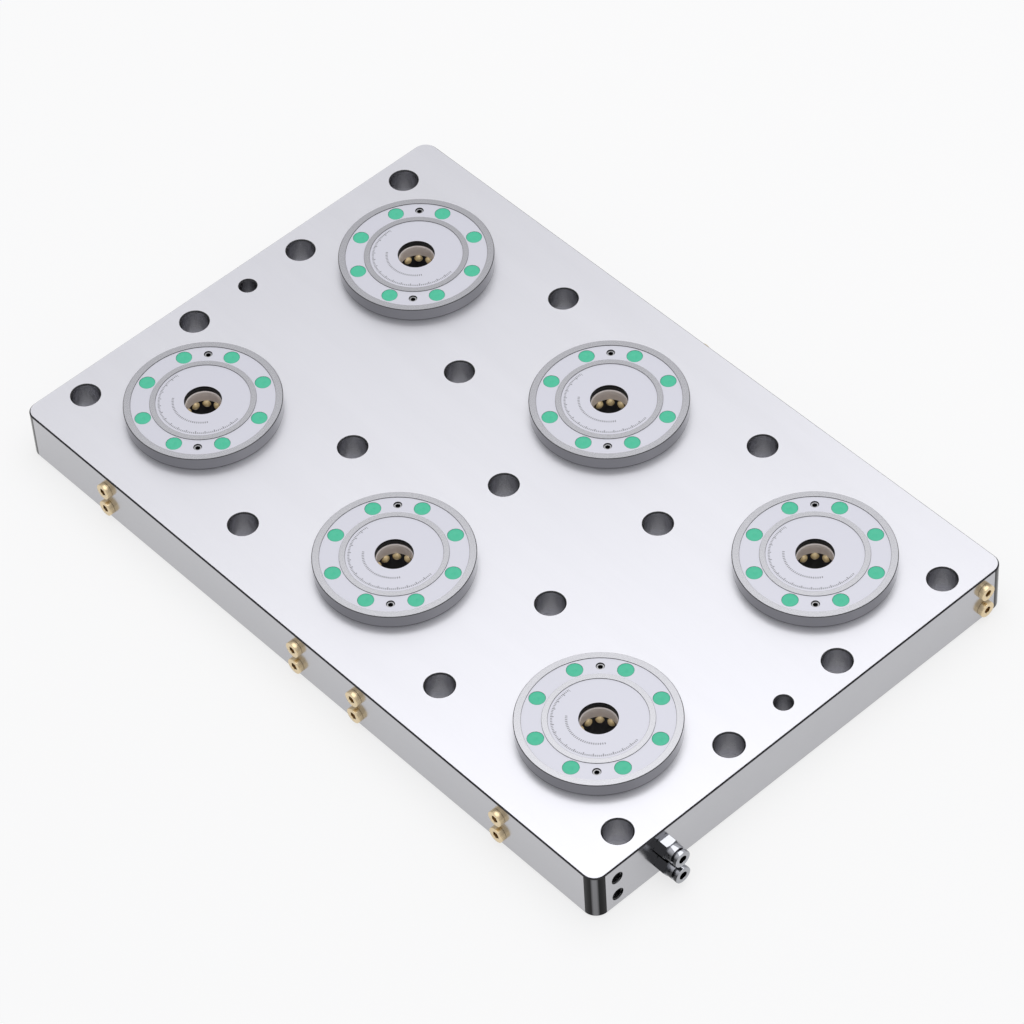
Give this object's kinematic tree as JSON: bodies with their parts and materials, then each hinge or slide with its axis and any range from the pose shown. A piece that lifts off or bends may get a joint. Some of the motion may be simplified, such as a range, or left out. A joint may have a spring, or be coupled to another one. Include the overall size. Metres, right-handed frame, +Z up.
{
  "type": "zero_point_clamping_plate",
  "caption": "Pneumatic zero point clamping plate: ground steel plate with ball lock modules, whose sprung pistons are released by air through side ports with plugs and push-in fittings.",
  "frame": {"origin": "the plate's centre on its underside, where the centre bolt hole's axis meets it", "axes": "X along the plate's long side with the air fittings at its +X end, Y along the short side, Z up"},
  "size_m": [0.599, 0.388, 0.05],
  "materials": {
    "plate_steel": "satin",
    "module_steel": "satin",
    "hardened_steel": "satin",
    "spring_steel": "satin",
    "aluminium": "satin",
    "gold_ball": "polished",
    "brass": "satin",
    "chrome": "polished",
    "black_screw": "satin",
    "green_plastic": "satin",
    "seal_rubber": "matte"
  },
  "bodies": {
    "plate": {"base_plate": "plate_steel", "housing_seal_rings": "seal_rubber", "bore_wipers": "seal_rubber", "flange_screws": "black_screw", "screw_caps": "green_plastic", "jack_screws": "black_screw", "port_plugs": "brass", "tube_fitting_upper": "chrome", "tube_fitting_lower": "chrome", "tube_seals": "seal_rubber", "tube_grip_rings": "spring_steel", "module_housing_1": "module_steel", "module_housing_2": "module_steel", "module_housing_3": "module_steel", "module_housing_4": "module_steel", "module_housing_5": "module_steel", "module_housing_6": "module_steel", "chamber_cover_1": "aluminium", "chamber_cover_2": "aluminium", "chamber_cover_3": "aluminium", "chamber_cover_4": "aluminium", "chamber_cover_5": "aluminium", "chamber_cover_6": "aluminium", "ball_cage_1": "hardened_steel", "ball_cage_2": "hardened_steel", "ball_cage_3": "hardened_steel", "ball_cage_4": "hardened_steel", "ball_cage_5": "hardened_steel", "ball_cage_6": "hardened_steel", "disc_springs_1": "spring_steel", "disc_springs_2": "spring_steel", "disc_springs_3": "spring_steel", "disc_springs_4": "spring_steel", "disc_springs_5": "spring_steel", "disc_springs_6": "spring_steel"},
    "collar_upper": {"release_collar_upper": "chrome"},
    "collar_lower": {"release_collar_lower": "chrome"},
    "piston_unit_1": {"piston_1": "hardened_steel", "piston_seals_1": "seal_rubber"},
    "piston_unit_2": {"piston_2": "hardened_steel", "piston_seals_2": "seal_rubber"},
    "piston_unit_3": {"piston_3": "hardened_steel", "piston_seals_3": "seal_rubber"},
    "piston_unit_4": {"piston_4": "hardened_steel", "piston_seals_4": "seal_rubber"},
    "piston_unit_5": {"piston_5": "hardened_steel", "piston_seals_5": "seal_rubber"},
    "piston_unit_6": {"piston_6": "hardened_steel", "piston_seals_6": "seal_rubber"},
    "balls_01": {"lock_balls_01": "gold_ball"},
    "balls_02": {"lock_balls_02": "gold_ball"},
    "balls_03": {"lock_balls_03": "gold_ball"},
    "balls_04": {"lock_balls_04": "gold_ball"},
    "balls_05": {"lock_balls_05": "gold_ball"},
    "balls_06": {"lock_balls_06": "gold_ball"},
    "balls_07": {"lock_balls_07": "gold_ball"},
    "balls_08": {"lock_balls_08": "gold_ball"},
    "balls_09": {"lock_balls_09": "gold_ball"},
    "balls_10": {"lock_balls_10": "gold_ball"}
  },
  "joints": [
    {"name": "piston_1_lift", "type": "slide", "parent": "plate", "child": "piston_unit_1", "axis": [0, 0, 1], "range_m": [0, 0.004], "stiffness_N_per_m": 2000, "springref_m": -0.002, "deforming": ["disc_springs_1"]},
    {"name": "piston_2_lift", "type": "slide", "parent": "plate", "child": "piston_unit_2", "axis": [0, 0, 1], "range_m": [0, 0.004], "stiffness_N_per_m": 2000, "springref_m": -0.002, "deforming": ["disc_springs_2"]},
    {"name": "piston_3_lift", "type": "slide", "parent": "plate", "child": "piston_unit_3", "axis": [0, 0, 1], "range_m": [0, 0.004], "stiffness_N_per_m": 2000, "springref_m": -0.002, "deforming": ["disc_springs_3"]},
    {"name": "piston_4_lift", "type": "slide", "parent": "plate", "child": "piston_unit_4", "axis": [0, 0, 1], "range_m": [0, 0.004], "stiffness_N_per_m": 2000, "springref_m": -0.002, "deforming": ["disc_springs_4"]},
    {"name": "piston_5_lift", "type": "slide", "parent": "plate", "child": "piston_unit_5", "axis": [0, 0, 1], "range_m": [0, 0.004], "stiffness_N_per_m": 2000, "springref_m": -0.002, "deforming": ["disc_springs_5"]},
    {"name": "piston_6_lift", "type": "slide", "parent": "plate", "child": "piston_unit_6", "axis": [0, 0, 1], "range_m": [0, 0.004], "stiffness_N_per_m": 2000, "springref_m": -0.002, "deforming": ["disc_springs_6"]},
    {"name": "balls_01_out", "type": "slide", "parent": "plate", "child": "balls_01", "axis": [0.891, 0.454, 0], "range_m": [0, 0.0022]},
    {"name": "balls_02_out", "type": "slide", "parent": "plate", "child": "balls_02", "axis": [0.454, 0.891, 0], "range_m": [0, 0.0022]},
    {"name": "balls_03_out", "type": "slide", "parent": "plate", "child": "balls_03", "axis": [-0.1564, 0.9877, 0], "range_m": [0, 0.0022]},
    {"name": "balls_04_out", "type": "slide", "parent": "plate", "child": "balls_04", "axis": [-0.7071, 0.7071, 0], "range_m": [0, 0.0022]},
    {"name": "balls_05_out", "type": "slide", "parent": "plate", "child": "balls_05", "axis": [-0.9877, 0.1564, 0], "range_m": [0, 0.0022]},
    {"name": "balls_06_out", "type": "slide", "parent": "plate", "child": "balls_06", "axis": [-0.891, -0.454, 0], "range_m": [0, 0.0022]},
    {"name": "balls_07_out", "type": "slide", "parent": "plate", "child": "balls_07", "axis": [-0.454, -0.891, 0], "range_m": [0, 0.0022]},
    {"name": "balls_08_out", "type": "slide", "parent": "plate", "child": "balls_08", "axis": [0.1564, -0.9877, 0], "range_m": [0, 0.0022]},
    {"name": "balls_09_out", "type": "slide", "parent": "plate", "child": "balls_09", "axis": [0.7071, -0.7071, 0], "range_m": [0, 0.0022]},
    {"name": "balls_10_out", "type": "slide", "parent": "plate", "child": "balls_10", "axis": [0.9877, -0.1564, 0], "range_m": [0, 0.0022]},
    {"name": "collar_upper_push", "type": "slide", "parent": "plate", "child": "collar_upper", "axis": [-1, 0, 0], "range_m": [0, 0.0012], "stiffness_N_per_m": 500},
    {"name": "collar_lower_push", "type": "slide", "parent": "plate", "child": "collar_lower", "axis": [-1, 0, 0], "range_m": [0, 0.0012], "stiffness_N_per_m": 500}
  ],
  "couplings": [
    {"joint": "piston_2_lift", "follows": "piston_1_lift", "ratio": 1},
    {"joint": "piston_3_lift", "follows": "piston_1_lift", "ratio": 1},
    {"joint": "piston_4_lift", "follows": "piston_1_lift", "ratio": 1},
    {"joint": "piston_5_lift", "follows": "piston_1_lift", "ratio": 1},
    {"joint": "piston_6_lift", "follows": "piston_1_lift", "ratio": 1},
    {"joint": "balls_01_out", "follows": "piston_1_lift", "ratio": 0.55},
    {"joint": "balls_02_out", "follows": "piston_1_lift", "ratio": 0.55},
    {"joint": "balls_03_out", "follows": "piston_1_lift", "ratio": 0.55},
    {"joint": "balls_04_out", "follows": "piston_1_lift", "ratio": 0.55},
    {"joint": "balls_05_out", "follows": "piston_1_lift", "ratio": 0.55},
    {"joint": "balls_06_out", "follows": "piston_1_lift", "ratio": 0.55},
    {"joint": "balls_07_out", "follows": "piston_1_lift", "ratio": 0.55},
    {"joint": "balls_08_out", "follows": "piston_1_lift", "ratio": 0.55},
    {"joint": "balls_09_out", "follows": "piston_1_lift", "ratio": 0.55},
    {"joint": "balls_10_out", "follows": "piston_1_lift", "ratio": 0.55}
  ]
}
